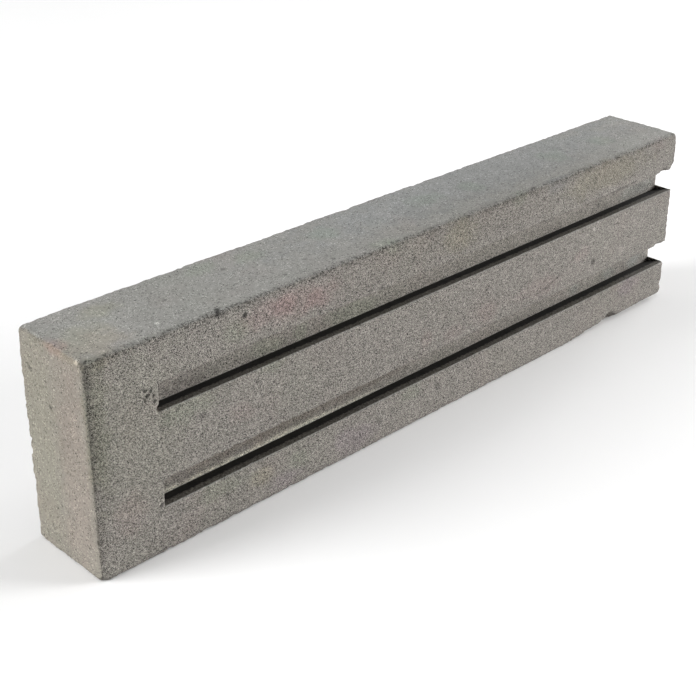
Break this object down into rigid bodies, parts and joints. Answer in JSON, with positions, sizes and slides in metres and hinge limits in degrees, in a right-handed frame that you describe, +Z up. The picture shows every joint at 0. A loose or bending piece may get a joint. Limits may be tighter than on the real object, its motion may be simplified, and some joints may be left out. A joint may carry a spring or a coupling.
{
  "type": "sharpening whetstone",
  "caption": "Rectangular bench whetstone standing on its long edge, with stopped lengthwise grooves in one large face that run out at the right-hand end.",
  "frame": {"origin": "middle of the underside, the long narrow edge face that the stone stands on", "axes": "+X along the length towards the end where the grooves run out, +Y through the thickness away from the grooved face, +Z up"},
  "size_m": [0.2, 0.0232, 0.051],
  "materials": {
    "abrasive_stone": "matt, gritty, cast and lightly chipped"
  },
  "bodies": {
    "root": {"whetstone_block": "abrasive_stone"}
  },
  "joints": []
}
